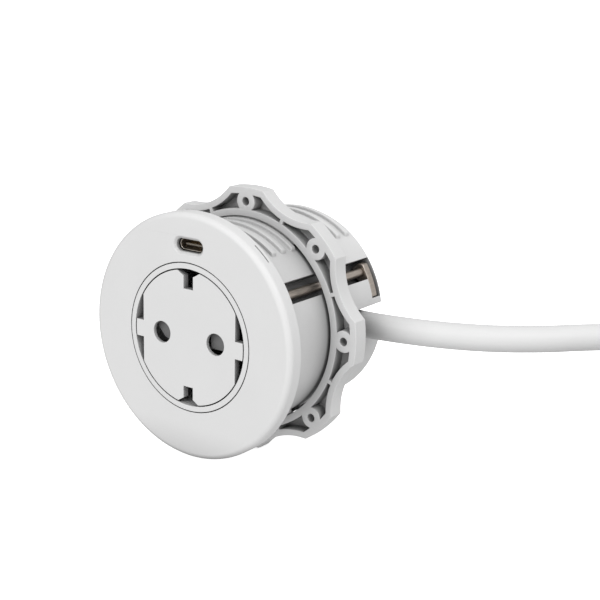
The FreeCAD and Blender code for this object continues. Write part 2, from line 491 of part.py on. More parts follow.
tie_in = (COIL_IN - 0.5, COIL_OUT + 0.3, COIL_Z0 - 0.1, COIL_Z1 + 0.1)
outer_b = Part.makeBox(tie_in[1] - tie_in[0] + 1.8, 9.0, tie_in[3] - tie_in[2] + 1.8, V(tie_in[0] - 0.9, -4.5, tie_in[2] - 0.9))
inner_b = Part.makeBox(tie_in[1] - tie_in[0], 20.0, tie_in[3] - tie_in[2], V(tie_in[0], -10, tie_in[2]))
outer_b = outer_b.makeFillet(1.6, [e for e in outer_b.Edges if abs(e.BoundBox.YLength - 9.0) < 1e-3])
tie = outer_b.cut(inner_b)
tie.rotate(V(0, 0, 0), V(0, 0, 1), 235)
tie.translate(V(cx, cy, 0))
put("cord_tie", tie)

put("cord_tail", tube(TAIL, CORD_D / 2, "cord_tail"))

# the plug's own frame: +X along its axis from the strain relief to the pins
S, E = V(*TAIL[-2]), V(*TAIL[-1])
pdir = (E - S)
pdir.normalize()
PLUG_AT = S - pdir * 9.2


def place(shape):
    s = shape.copy()
    ang = math.degrees(math.atan2(pdir.y, pdir.x))
    s.rotate(V(0, 0, 0), V(0, 0, 1), ang)
    s.translate(PLUG_AT)
    return s


def revx(profile):
    p = [V(x, r, 0) for x, r in profile]
    return Part.Face(Part.makePolygon(p + [p[0]])).revolve(V(0, 0, 0), V(1, 0, 0), 360)


relief = revx([(8, 0), (8, 5.2), (10, 5.6), (30, 7.4), (34, 7.6), (34, 0)])
for i in range(5):
    x = 12.0 + 4.0 * i
    g = revx([(x, 4.35 + 0.075 * x), (x, 12), (x + 1.8, 12), (x + 1.8, 4.35 + 0.075 * x)])
    relief = relief.cut(g.cut(box(x - 1, x + 4, -1.2, 1.2, -12, 12)))
relief = relief.cut(Part.makeCylinder(3.85, 14.0, V(7, 0, 0), V(1, 0, 0)))
put("plug_strain_relief", place(relief))

pb = revx([(34, 0), (34, 9.2), (37, 11.0), (44, 13.2), (52, 15.0), (57, 17.4), (59, 18.4), (74, 18.4), (74, 0)])
side = Part.makeBox(20, 10, 5.6, V(58, 16.4, -2.8)).fuse(Part.makeBox(20, 10, 5.6, V(58, -26.4, -2.8)))
flat = Part.makeBox(30, 9.0, 4.0, V(60, -4.5, 17.1)).fuse(Part.makeBox(30, 9.0, 4.0, V(60, -4.5, -21.1)))
pb = pb.cut(side).cut(flat)
pb = pb.cut(fuse(*[Part.makeCylinder(2.0, 8, V(70, y, 0), V(1, 0, 0)) for y in (-9.5, 9.5)]))
put("plug_body", place(pb))


def plug_pin(y):
    # its shank in the body is thinner, and a short neck of it shows before the full pin starts
    q = Part.Face(Part.makePolygon([V(70, 0, 0), V(70, 2.0, 0), V(74.3, 2.0, 0), V(74.3, 2.4, 0), V(91.4, 2.4, 0), V(93.0, 1.2, 0),
                                    V(93.0, 0, 0), V(70, 0, 0)])).revolve(
        V(0, 0, 0), V(1, 0, 0), 360)
    q.translate(V(0, y, 0))
    return q


put("plug_pins", place(plug_pin(-9.5)), place(plug_pin(9.5)))
put("plug_earth_contacts", place(Part.makeBox(11.5, 6.0, 0.9, V(61.5, -3.0, 17.1))), place(Part.makeBox(11.5, 6.0, 0.9, V(61.5, -3.0, -18.0))))
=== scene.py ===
import json
import math

import bmesh
import bpy
from mathutils import Matrix, Vector
from mathutils.geometry import tessellate_polygon


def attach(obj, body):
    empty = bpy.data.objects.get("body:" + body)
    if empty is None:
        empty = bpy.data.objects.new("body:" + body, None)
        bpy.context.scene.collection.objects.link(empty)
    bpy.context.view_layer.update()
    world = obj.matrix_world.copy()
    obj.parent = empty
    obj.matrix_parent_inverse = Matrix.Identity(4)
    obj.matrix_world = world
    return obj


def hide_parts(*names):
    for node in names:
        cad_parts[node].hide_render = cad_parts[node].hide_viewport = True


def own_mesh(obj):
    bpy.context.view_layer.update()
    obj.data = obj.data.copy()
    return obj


# Built-in power socket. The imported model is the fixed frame. Pieces here are modelled in the
# part's own drawing frame, in millimetres: x right seen from the front, y into the panel with
# the front face at 0, z up, and the axis of the round body on x = z = 0. done() carries them
# to metres in the row frame.
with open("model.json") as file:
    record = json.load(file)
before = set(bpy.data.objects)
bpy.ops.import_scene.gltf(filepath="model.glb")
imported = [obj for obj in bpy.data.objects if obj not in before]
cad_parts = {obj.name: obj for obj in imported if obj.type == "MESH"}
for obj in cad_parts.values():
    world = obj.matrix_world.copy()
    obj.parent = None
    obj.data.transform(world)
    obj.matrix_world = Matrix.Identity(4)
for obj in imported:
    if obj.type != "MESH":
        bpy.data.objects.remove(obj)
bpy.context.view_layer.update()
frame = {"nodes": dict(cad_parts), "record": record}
nodes = frame["nodes"]
scene = bpy.context.scene
SHIFT = (0.0, -26.4, 38.45)


def row(x, y, z):
    return Vector(((x + SHIFT[0]) / 1000, (y + SHIFT[1]) / 1000, (z + SHIFT[2]) / 1000))


# ---- camera ------------------------------------------------------------------------------------
lens = bpy.data.cameras.new("camera")
lens.lens, lens.sensor_width, lens.sensor_fit = 75.4505, 36.0, "HORIZONTAL"
lens.clip_start, lens.clip_end = 0.01, 20.0
camera = bpy.data.objects.new("camera", lens)
scene.collection.objects.link(camera)
cam_x, cam_y, cam_z = (0.80947316, 0.58668736, 0.02347642), (-0.17076113, 0.19697351, 0.96542326), (0.5617774, -0.78549308, 0.25962817)
cam_at = (0.214905, -0.2750225, 0.137950)
camera.matrix_world = Matrix([(cam_x[i], cam_y[i], cam_z[i], cam_at[i]) for i in range(3)] + [(0, 0, 0, 1)])
scene.camera = camera

# ---- the mains cord: one smooth curve through the body's recess, the droop, the coil and the tail --
CORD_D = 7.6
RUN = [(13.2, 43.35, 0), (22.9, 42.95, 0), (33.0, 43.15, 0), (48.7, 46.6, 0), (63.5, 53.1, 0),
       (75.6, 62.9, 0), (82.6, 71.1, 0), (91.0, 81.5, -0.5), (101.5, 91.0, -3.4), (113.8, 98.8, -9.2),
       (127.3, 104.9, -16.4), (141.0, 108.9, -22.4)]
TAIL = [(107.6, 64.0, -33.6), (108.0, 80.0, -34.1), (109.5, 98.6, -34.2), (119.7, 116.2, -33.4), (137.3, 126.4, -29.5),
        (157.7, 126.4, -22.0), (175.3, 116.2, -10.2), (185.5, 98.6, -4.0), (185.5, 78.2, -3.3), (185.5, 66.8, -3.3)]
COIL_X, COIL_Y, COIL_R, COIL_TURNS, COIL_FROM = 163.5, 56.4, 54.0, 5.7556, 100.0


def coil_points():
    out, half, steps = [], COIL_TURNS / 2, 81
    for i in range(steps + 1):
        t = COIL_TURNS * i / steps
        r = COIL_R - CORD_D * t if t < half else COIL_R - CORD_D * half + CORD_D * (t - half)
        a = math.radians(COIL_FROM - 360 * t)
        s = min(1.0, max(0.0, (t - half + 0.35) / 0.7))
        z = -25.75 - 7.7 * (s * s * (3 - 2 * s))
        out.append((COIL_X + r / 0.975 * math.cos(a), COIL_Y + r / 0.975 * math.sin(a), z))
    return out


cord_curve = bpy.data.curves.new("mains_cord", "CURVE")
cord_curve.dimensions = "3D"
line = cord_curve.splines.new("NURBS")
route = RUN + coil_points() + TAIL
line.points.add(len(route) - 1)
for point, at in zip(line.points, route):
    point.co = (*row(*at), 1.0)
line.order_u = 3
line.use_endpoint_u = True
line.resolution_u = 12
cord_curve.bevel_depth = CORD_D / 2000
cord_curve.bevel_resolution = 9
cord_curve.use_fill_caps = True
mains_cord = bpy.data.objects.new("mains_cord", cord_curve)
scene.collection.objects.link(mains_cord)

# ---- materials -----------------------------------------------------------------------------------
MATS = {}


def lin(c):
    return c / 12.92 if c <= 0.04045 else ((c + 0.055) / 1.055) ** 2.4


def tone(r, g, b):
    return lin(r / 255), lin(g / 255), lin(b / 255)


def material(name):
    m = bpy.data.materials.new(name)
    m.use_nodes = True
    MATS[name] = m
    t = m.node_tree
    return m, t, t.nodes["Principled BSDF"], t.nodes.new("ShaderNodeTexCoord").outputs["Object"]


def noise(t, where, scale, detail=3.0, rough=0.5, squeeze=None):
    n = t.nodes.new("ShaderNodeTexNoise")
    n.inputs["Scale"].default_value = scale
    n.inputs["Detail"].default_value = detail
    n.inputs["Roughness"].default_value = rough
    if squeeze:
        m = t.nodes.new("ShaderNodeMapping")
        m.inputs["Scale"].default_value = squeeze
        t.links.new(where, m.inputs["Vector"])
        where = m.outputs["Vector"]
    t.links.new(where, n.inputs["Vector"])
    return n.outputs["Fac"]


def spread(t, fac, lo, hi, at0=0.3, at1=0.7):
    n = t.nodes.new("ShaderNodeMapRange")
    n.inputs["From Min"].default_value, n.inputs["From Max"].default_value = at0, at1
    n.inputs["To Min"].default_value, n.inputs["To Max"].default_value = lo, hi
    t.links.new(fac, n.inputs["Value"])
    return n.outputs["Result"]


def blend_colours(t, fac, a, b):
    n = t.nodes.new("ShaderNodeMix")
    n.data_type = "RGBA"
    n.inputs["A"].default_value, n.inputs["B"].default_value = (*a, 1), (*b, 1)
    t.links.new(fac, n.inputs["Factor"])
    return n.outputs["Result"]


def bump(t, shader, height, strength, distance, first=None):
    n = t.nodes.new("ShaderNodeBump")
    n.inputs["Strength"].default_value = strength
    n.inputs["Distance"].default_value = distance
    t.links.new(height, n.inputs["Height"])
    if first is not None:
        t.links.new(first, n.inputs["Normal"])
    t.links.new(n.outputs["Normal"], shader.inputs["Normal"])
    return n.outputs["Normal"]


def soft_edges(t, radius):
    n = t.nodes.new("ShaderNodeBevel")
    n.samples = 6
    n.inputs["Radius"].default_value = radius
    return n.outputs["Normal"]


def paint_hollow_shade(t, colour, distance, depth):
    # painted shade: an ambient-occlusion mask multiplies the base colour, so recesses and seams come out a little
    # darker than open faces, as shade falls there
    a = t.nodes.new("ShaderNodeAmbientOcclusion")
    a.samples = 8
    a.inputs["Distance"].default_value = distance
    p = t.nodes.new("ShaderNodeMath")
    p.operation = "POWER"
    p.inputs[1].default_value = depth
    t.links.new(a.outputs["AO"], p.inputs[0])
    n = t.nodes.new("ShaderNodeMix")
    n.data_type, n.blend_type = "RGBA", "MULTIPLY"
    n.inputs["Factor"].default_value = 1.0
    t.links.new(colour, n.inputs["A"])
    t.links.new(p.outputs["Value"], n.inputs["B"])
    return n.outputs["Result"]


def moulded(name, colour, rough=0.45, vary=0.012, grain=0.12, edge=0.00018, level=0.4, streak=None, recess=None):
    # injection-moulded plastic: a fine spark-eroded grain, faint uneven tone, slightly uneven gloss; when recess is
    # given, painted shade darkens its hollows
    m, t, s, at = material(name)
    lo, hi = [c * (1 - vary) for c in colour], [min(1, c * (1 + vary)) for c in colour]
    base = blend_colours(t, spread(t, noise(t, at, 60, 4, 0.55, streak), 0, 1), lo, hi)
    t.links.new(paint_hollow_shade(t, base, *recess) if recess else base, s.inputs["Base Color"])
    t.links.new(spread(t, noise(t, at, 900, 3, 0.6), rough - 0.05, rough + 0.06), s.inputs["Roughness"])
    s.inputs["Specular IOR Level"].default_value = level
    bump(t, s, noise(t, at, 5200, 3, 0.65), grain, 0.00003, soft_edges(t, edge) if edge else None)
    return m


def metal(name, colour, rough=0.3, vary=0.12, grain=0.15, scale=900, squeeze=None, metallic=1.0, edge=0.00012):
    m, t, s, at = material(name)
    lo, hi = [c * (1 - vary) for c in colour], [min(1, c * (1 + vary)) for c in colour]
    f = noise(t, at, scale, 5, 0.6, squeeze)
    t.links.new(blend_colours(t, spread(t, f, 0, 1), lo, hi), s.inputs["Base Color"])
    t.links.new(spread(t, noise(t, at, scale * 0.6, 3, 0.5, squeeze), rough - 0.07, rough + 0.09), s.inputs["Roughness"])
    s.inputs["Metallic"].default_value = metallic
    bump(t, s, f, grain, 0.00002, soft_edges(t, edge) if edge else None)
    return m


PALE = tone(202, 202, 202)
# painted shade: recess darkens the shell and ring in their hollows and pockets, and where flange and ring shade the
# body
moulded("shell_plastic", PALE, 0.46, recess=(0.014, 0.8))
moulded("ring_plastic", tone(198, 198, 198), 0.50, grain=0.2, recess=(0.006, 0.5))
# painted shade: the inner plastic's dark grey is taken down to near black so the parts deep inside the pin holes read
# as black
moulded("inner_plastic", tone(40, 40, 41), 0.5)
moulded("shutter_plastic", tone(104, 104, 104), 0.5)
metal("brass", tone(196, 160, 88), 0.3)
metal("spring_steel", tone(150, 150, 152), 0.28, squeeze=(1, 6, 1))
metal("zinc_steel", tone(176, 167, 158), 0.38, scale=1400, squeeze=(1, 0.25, 1), grain=0.25)
metal("usb_steel", tone(190, 182, 172), 0.32, scale=1200)
moulded("usb_plastic", tone(122, 115, 106), 0.34, vary=0.1)
moulded("board", tone(32, 84, 52), 0.42, vary=0.15, streak=(1, 1, 4))
moulded("electronics", tone(42, 42, 46), 0.5, vary=0.15)
metal("can", tone(172, 174, 178), 0.25)
moulded("brown_wire", tone(104, 62, 38), 0.42, vary=0.06)
moulded("blue_wire", tone(44, 92, 160), 0.42, vary=0.06)
moulded("red_wire", tone(176, 42, 36), 0.42, vary=0.06)
# painted shade: recess darkens the cord jacket near the body and the plug in its hollows
moulded("cord_jacket", tone(202, 202, 202), 0.52, vary=0.012, grain=0.2, edge=None, streak=(1, 1, 1), recess=(0.02, 0.85))
moulded("plug_plastic", tone(202, 202, 201), 0.47, recess=(0.007, 1.2))
metal("nickel", tone(196, 192, 184), 0.22, scale=1500, squeeze=(1, 1, 0.3))
metal("gold", tone(214, 176, 96), 0.26, scale=2500)

# the earth wire's green and yellow stripes run round it
m, t, s, at = material("earth_wire")
wave = t.nodes.new("ShaderNodeTexWave")
wave.inputs["Scale"].default_value, wave.inputs["Distortion"].default_value = 130.0, 0.6
t.links.new(at, wave.inputs["Vector"])
t.links.new(blend_colours(t, spread(t, wave.outputs["Fac"], 0, 1, 0.48, 0.52), tone(64, 128, 58), tone(214, 190, 52)), s.inputs["Base Color"])
s.inputs["Roughness"].default_value = 0.45
bump(t, s, noise(t, at, 4000), 0.1, 0.00003)

# the tie: a woven hook-and-loop strap
m, t, s, at = material("tie")
a = t.nodes.new("ShaderNodeTexWave")
a.inputs["Scale"].default_value, a.inputs["Distortion"].default_value = 900.0, 0.8
b = t.nodes.new("ShaderNodeTexWave")
b.bands_direction = "Z"
b.inputs["Scale"].default_value, b.inputs["Distortion"].default_value = 900.0, 0.8
for w in (a, b):
    t.links.new(at, w.inputs["Vector"])
mul = t.nodes.new("ShaderNodeMath")
mul.operation = "MULTIPLY"
t.links.new(a.outputs["Fac"], mul.inputs[0])
t.links.new(b.outputs["Fac"], mul.inputs[1])
t.links.new(blend_colours(t, mul.outputs["Value"], tone(38, 38, 40), tone(78, 78, 82)), s.inputs["Base Color"])
s.inputs["Roughness"].default_value = 0.85
s.inputs["Sheen Weight"].default_value = 0.3
bump(t, s, mul.outputs["Value"], 0.6, 0.0002)

slot_of = {p["node"]: p["material_slot"] for p in frame["record"]["subparts"]}
for name, node in nodes.items():
    node.data.materials.clear()
    node.data.materials.append(MATS[slot_of[name]])


# ---- mesh helpers ----------------------------------------------------------------------------------
def pol(r, a):
    return r * math.cos(math.radians(a)), r * math.sin(math.radians(a))


def arc(r, a0, a1, n, cx=0.0, cz=0.0):
    # n + 1 points from a0 to a1
    return [(cx + pol(r, a0 + (a1 - a0) * i / n)[0], cz + pol(r, a0 + (a1 - a0) * i / n)[1]) for i in range(n + 1)]


def circle(r, n, cx=0.0, cz=0.0):
    return arc(r, 0, 360 - 360 / n, n - 1, cx, cz)


def stadium(w, h, cx=0.0, cz=0.0, n=14):
    c = (w - h) / 2
    return arc(h / 2, -90, 90, n, cx + c, cz) + arc(h / 2, 90, 270, n, cx - c, cz)


def arc3(p, q, r, n):
    # n + 1 points on the arc from p through q to r
    ax, ay, bx, by, cx, cy = *p, *q, *r
    d = 2 * (ax * (by - cy) + bx * (cy - ay) + cx * (ay - by))
    ux = ((ax * ax + ay * ay) * (by - cy) + (bx * bx + by * by) * (cy - ay) + (cx * cx + cy * cy) * (ay - by)) / d
    uy = ((ax * ax + ay * ay) * (cx - bx) + (bx * bx + by * by) * (ax - cx) + (cx * cx + cy * cy) * (bx - ax)) / d
    rad = math.hypot(ax - ux, ay - uy)
    t0, t1, t2 = (math.atan2(y - uy, x - ux) for x, y in (p, q, r))
    full = (t2 - t0) % (2 * math.pi)
    if (t1 - t0) % (2 * math.pi) > full:
        full -= 2 * math.pi
    return [(ux + rad * math.cos(t0 + full * i / n), uy + rad * math.sin(t0 + full * i / n)) for i in range(n + 1)]


def rounded(poly, radius, n=5):
    # rounds the corners of a polygon; radius is one number or one per corner
    out = []
    count = len(poly)
    radii = radius if isinstance(radius, (list, tuple)) else [radius] * count
    for i, (p, r) in enumerate(zip(poly, radii)):
        p = Vector(p)
        a, b = Vector(poly[i - 1]) - p, Vector(poly[(i + 1) % count]) - p
        if r <= 0:
            out.append(tuple(p))
            continue
        half = a.angle(b) / 2
        if half > math.radians(89):
            out.append(tuple(p))
            continue
        back = min(r / math.tan(half), 0.48 * a.length, 0.48 * b.length)
        r = back * math.tan(half)
        a.normalize(), b.normalize()
        centre = p + (a + b).normalized() * (r / math.sin(half))
        s, e = p + a * back - centre, p + b * back - centre
        turn = s.angle_signed(e)
        for k in range(n + 1):
            w = s.copy()
            w.rotate(Matrix.Rotation(-turn * k / n, 2))
            out.append(tuple(centre + w))
    return out


def tidy(points, gap=1e-4):
    out = []
    for p in points:
        if not out or math.dist(p, out[-1]) > gap:
            out.append(p)
    while math.dist(out[0], out[-1]) < gap:
        out.pop()
    return out


def miters(points):
    # for each corner, the way it moves when the loop grows by 1
    area = sum(a[0] * b[1] - b[0] * a[1] for a, b in zip(points, points[1:] + points[:1]))
    side = 1 if area > 0 else -1
    out = []
    for i, p in enumerate(points):
        a, b = Vector(p) - Vector(points[i - 1]), Vector(points[(i + 1) % len(points)]) - Vector(p)
        a.normalize(), b.normalize()
        na, nb = Vector((a.y, -a.x)) * side, Vector((b.y, -b.x)) * side
        m = na + nb
        if m.length < 1e-6:
            m = na
        m.normalize()
        out.append(m * min(1.8, 1 / max(0.2, m.dot(na))))
    return out


def fill(bm, rings):
    flat = [[Vector((v.co.x, v.co.z, 0)) for v in ring] for ring in rings]
    verts = [v for ring in rings for v in ring]
    for tri in tessellate_polygon(flat):
        if len(set(tri)) == 3:
            bm.faces.new([verts[i] for i in tri])


def plate(bm, loops):
    """A closed solid between a front and a back cap. Each loop is (points, steps, kind): steps are (y, how far the
    loop has grown there), front to back, and kind is outer, through or blind, a pocket open to the front."""
    made = []
    for points, steps, kind in loops:
        points = tidy(list(points))
        grow = miters(points)
        rings = [[bm.verts.new((p[0] + g.x * off, y, p[1] + g.y * off)) for p, g in zip(points, grow)] for y, off in steps]
        n = len(points)
        for a, b in zip(rings, rings[1:]):
            for i in range(n):
                bm.faces.new((a[i], a[(i + 1) % n], b[(i + 1) % n], b[i]))
        made.append((rings, kind))
    fill(bm, [rings[0] for rings, kind in made])
    fill(bm, [rings[-1] for rings, kind in made if kind != "blind"])
    for rings, kind in made:
        if kind == "blind":
            fill(bm, [rings[-1]])
    return [rings for rings, kind in made]


def ease(y0, y1, front=0.0, back=0.0, n=4, hole=False, middle=()):
    # the steps of a wall whose front and back edges are rounded
    s = 1 if hole else -1
    out = []
    if front:
        out += [(y0 + front * (1 - math.cos(k * math.pi / 2 / n)), s * front * (1 - math.sin(k * math.pi / 2 / n))) for k in range(n + 1)]
    else:
        out.append((y0, 0.0))
    out += list(middle)
    if back:
        out += [(y1 - back * (1 - math.cos(k * math.pi / 2 / n)), s * back * (1 - math.sin(k * math.pi / 2 / n))) for k in range(n, -1, -1)]
    else:
        out.append((y1, 0.0))
    return out


def lathe(bm, profile, n=192, axis="Y", at=(0, 0, 0)):
    # a closed profile of (radius, distance along the axis), turned about the axis
    rings = []
    for k in range(n):
        c, s = math.cos(2 * math.pi * k / n), math.sin(2 * math.pi * k / n)
        ring = []
        for r, h in profile:
            if axis == "Y":
                p = (at[0] + r * c, at[1] + h, at[2] + r * s)
            elif axis == "X":
                p = (at[0] + h, at[1] + r * c, at[2] + r * s)
            else:
                p = (at[0] + r * c, at[1] + r * s, at[2] + h)
            ring.append(bm.verts.new(p))
        rings.append(ring)
    m = len(profile)
    for k in range(n):
        a, b = rings[k], rings[(k + 1) % n]
        for i in range(m):
            j = (i + 1) % m
            if profile[i][0] < 1e-9 and profile[j][0] < 1e-9:
                continue
            bm.faces.new((a[i], a[j], b[j], b[i]))


def block(bm, x0, x1, y0, y1, z0, z1, r=0.0):
    pts = [(x0, z0), (x1, z0), (x1, z1), (x0, z1)]
    plate(bm, [(rounded(pts, r, 4) if r else pts, ease(y0, y1), "outer")])


def radial_block(bm, a, u0, u1, t0, t1, y0, y1):
    c, s = math.cos(math.radians(a)), math.sin(math.radians(a))
    plate(bm, [([(u * c - t * s, u * s + t * c) for u, t in ((u0, t0), (u1, t0), (u1, t1), (u0, t1))], ease(y0, y1), "outer")])


def wedge(bm, r0, r1, a0, a1, y0, y1, n=40):
    plate(bm, [(arc(r1, a0, a1, n) + arc(r0, a1, a0, n), ease(y0, y1), "outer")])


def rod(bm, r, y0, y1, x=0.0, z=0.0, n=48, front=0.0, back=0.0):
    plate(bm, [(circle(r, n, x, z), ease(y0, y1, front, back), "outer")])


def sweep(bm, points, r, n=10):
    # a round wire along points, closed at both ends
    pts = [Vector(p) for p in points]
    up = Vector((0.12, 0.31, 0.94)).normalized()
    rings = []
    for i, p in enumerate(pts):
        d = (pts[min(i + 1, len(pts) - 1)] - pts[max(i - 1, 0)]).normalized()
        side = d.cross(up)
        if side.length < 1e-3:
            side = d.orthogonal()
        side.normalize()
        up = side.cross(d).normalized()
        rings.append([bm.verts.new(p + side * (r * math.cos(2 * math.pi * k / n)) + up * (r * math.sin(2 * math.pi * k / n))) for k in range(n)])
    for a, b in zip(rings, rings[1:]):
        for k in range(n):
            bm.faces.new((a[k], a[(k + 1) % n], b[(k + 1) % n], b[k]))
    for ring, p in ((rings[0], pts[0]), (rings[-1], pts[-1])):
        c = bm.verts.new(p)
        for k in range(n):
            bm.faces.new((ring[k], ring[(k + 1) % n], c))


def solid(name, *makers):
    """An object in millimetres from functions that each add closed shells to a mesh."""
    bm = bmesh.new()
    for make in makers:
        make(bm)
    bmesh.ops.remove_doubles(bm, verts=bm.verts, dist=1e-5)
    bmesh.ops.recalc_face_normals(bm, faces=bm.faces)
    mesh = bpy.data.meshes.new(name)
    bm.to_mesh(mesh)
    bm.free()
    o = bpy.data.objects.new(name, mesh)
    scene.collection.objects.link(o)
    return o


def combine(o, operation, *makers, overlap=False):
    """Joins closed shells to the object, or cuts them out of it."""
    tool = solid("tool", *makers)
    mod = o.modifiers.new("b", "BOOLEAN")
    mod.operation, mod.solver, mod.object, mod.use_self = operation, "EXACT", tool, overlap
    dg = bpy.context.evaluated_depsgraph_get()
    mesh = bpy.data.meshes.new_from_object(o.evaluated_get(dg))
    o.modifiers.clear()
    old, o.data = o.data, mesh
    mesh.name = o.name
    bpy.data.meshes.remove(old)
    bpy.data.meshes.remove(tool.data)
    return o


def join(o, *makers, overlap=False):
    return combine(o, "UNION", *makers, overlap=overlap)


def cut(o, *makers, overlap=False):
    return combine(o, "DIFFERENCE", *makers, overlap=overlap)


def done(o, body, mat, replaces=(), sharp=32.0, move=None):
    """To metres in the row frame, with smooth shading up to the sharp edges."""
    mesh = o.data
    if move is not None:
        mesh.transform(move)
    mesh.transform(Matrix.Translation(Vector(SHIFT)))
    mesh.transform(Matrix.Scale(0.001, 4))
    if len(mesh.materials) == 0:
        mesh.materials.append(MATS[mat])
    else:
        mesh.materials[0] = MATS[mat]
    for p in mesh.polygons:
        p.use_smooth = True
    mesh.set_sharp_from_angle(angle=math.radians(sharp))
    mesh.update()
    mod = o.modifiers.new("even", "WEIGHTED_NORMAL")
    mod.mode, mod.weight, mod.keep_sharp = "FACE_AREA_WITH_ANGLE", 80, True
    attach(o, body)
    if replaces:
        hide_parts(*([replaces] if isinstance(replaces, str) else replaces))
    return o


TURN = Matrix.Rotation(math.pi, 4, "Y")   # the point-symmetric twin on the other side

# ---- trim ring -------------------------------------------------------------------------------------
FLANGE_R, FLANGE_FLAT, FLANGE_BACK = 34.58, 32.95, 4.74
USB_Z = 25.57


def make_trim(bm):
    er, ey = FLANGE_R - FLANGE_FLAT, 1.65
    steps = [(ey * (1 - math.cos(k * math.pi / 24)), -er * (1 - math.sin(k * math.pi / 24))) for k in range(13)]
    steps += [(3.2, 0.0), (3.55, 0.0)]
    steps += [(FLANGE_BACK - 0.22 * (1 - math.cos(k * math.pi / 8)), -0.22 * (1 - math.sin(k * math.pi / 8))) for k in range(4, -1, -1)]
    steps += [(FLANGE_BACK, -0.76), (FLANGE_BACK - 0.07, -0.83), (1.9, -0.83), (1.6, -1.13)]
    rings = plate(bm, [
        (circle(FLANGE_R, 256), steps, "outer"),
        (circle(21.08, 192), ease(0, 1.6, 0.07, 0, 3, True), "through"),
        (stadium(9.12, 3.52, 0, USB_Z, 18), [(0.0, 0.80), (0.03, 0.72), (0.10, 0.62), (0.58, 0.10), (0.68, 0.03), (0.80, 0.0), (1.6, 0.0)], "through")])
    # the pry slit in the edge
    a, b = rings[0][13], rings[0][14]
    i0, i1 = 32, 39
    for i in range(i0, i1):
        face = bm.faces.get((a[i], a[i + 1], b[i + 1], b[i]))
        bm.faces.remove(face)

    def inner(v):
        k = 33.86 / math.hypot(v.co.x, v.co.z)
        return bm.verts.new((v.co.x * k, v.co.y, v.co.z * k))
    ia, ib = {i: inner(a[i]) for i in range(i0, i1 + 1)}, {i: inner(b[i]) for i in range(i0, i1 + 1)}
    for i in range(i0, i1):
        bm.faces.new((ia[i], ia[i + 1], ib[i + 1], ib[i]))
        bm.faces.new((a[i], a[i + 1], ia[i + 1], ia[i]))
        bm.faces.new((b[i], b[i + 1], ib[i + 1], ib[i]))
    for i in (i0, i1):
        bm.faces.new((a[i], ia[i], ib[i], b[i]))


done(solid("front_trim_ring", make_trim), "trim_ring", "shell_plastic", "trim_ring")

# ---- socket well -------------------------------------------------------------------------------------
WELL_SCREWS = [pol(23.7, a) for a in (-30.0, 150.0, 270.0)]
LEGS = (60.0, 120.0, 240.0, 300.0)
well = solid("socket_well_tube", lambda bm: lathe(bm, [
    (19.37, 0), (20.74, 0), (20.79, 0.02), (20.81, 0.07), (20.81, 1.7), (23.5, 1.7), (23.5, 2.7), (20.85, 2.7), (20.85, 37.2), (19.3, 37.2),
    (19.3, 22.9), (18.3, 22.9), (18.3, 21.9), (19.3, 21.9), (19.3, 0.07), (19.32, 0.02)], 240))
join(well, *[lambda bm, x=x, z=z: rod(bm, 2.7, 1.72, 2.68, x, z) for x, z in WELL_SCREWS])
cut(well, *[lambda bm, x=x, z=z: rod(bm, 2.02, 0.5, 3.5, x, z, 40) for x, z in WELL_SCREWS],
    *[lambda bm, a=a: radial_block(bm, a, 17.5, 22.0, -1.8, 1.8, 23.95, 38) for a in LEGS],
    *[lambda bm, a=a: radial_block(bm, a, 17.0, 19.28, -1.8, 1.8, 21.0, 23.9) for a in LEGS],
    *[lambda bm, a=a: radial_block(bm, a, 18.9, 22.0, -3.1, 3.1, 32.9, 35.1) for a in (0, 180)])
done(well, "housing", "shell_plastic", "socket_well")

# ---- sliding floor -------------------------------------------------------------------------------------
R = 18.96
e30 = math.degrees(math.acos(16.3 / R))
up0, dn0 = math.degrees(math.atan2(18.60, 3.88)), math.degrees(math.atan2(18.655, 3.603))
tab_u, tab_d = math.degrees(math.asin(2.15 / R)), math.degrees(math.asin(2.65 / R))
floor_outline = (arc(R, e30, up0, 28) + [(1.66, 17.3), (1.66, 13.7), (-1.66, 13.7), (-1.66, 17.3)] + arc(R, 180 - up0, 180 - e30, 28)
                 + [(-16.3, 2.15)] + arc(R, 180 - tab_u, 180 + tab_d, 10) + [(-16.3, -2.65)] + arc(R, 180 + e30, 360 - dn0 - 2 * (90 - dn0), 28)
                 + [(-1.66, -17.4), (-1.66, -14.0), (1.66, -14.0), (1.66, -17.4)] + arc(R, -dn0, -e30, 28)
                 + [(16.3, -2.65)] + arc(R, -tab_d, tab_u, 10) + [(16.3, 2.15)])


def make_floor(bm):
    loops = [(floor_outline, ease(0, 2.0, 0.07, 0, 3), "outer")]
    for sx in (-1, 1):
        loops.append((circle(3.05, 72, sx * 9.5), ease(0, 1.1, 0.14, 0, 4, True) + [(1.1, 0.85), (2.0, 0.85)], "through"))
    plate(bm, loops)


floor_piece = solid("sliding_socket_floor", make_floor)
bits = []
for a in LEGS:
    bits.append(lambda bm, a=a: radial_block(bm, a, 17.4, 18.85, -1.5, 1.5, 1.5, 25.5))
    bits.append(lambda bm, a=a: radial_block(bm, a, 18.5, 20.4, -1.5, 1.5, 24.0, 25.45))
for x in (-5.2, 5.2):
    bits.append(lambda bm, x=x: rod(bm, 0.8, 1.5, 4.8, x, 4.6, 24))
    bits.append(lambda bm, x=x: rod(bm, 1.45, 4.5, 5.2, x, 4.6, 32, 0, 0.3))
bits.append(lambda bm: block(bm, -2.2, 2.2, 1.5, 4.6, 12.5, 13.4))
join(floor_piece, *bits, overlap=True)
done(floor_piece, "sliding_floor", "shell_plastic", "sliding_floor")

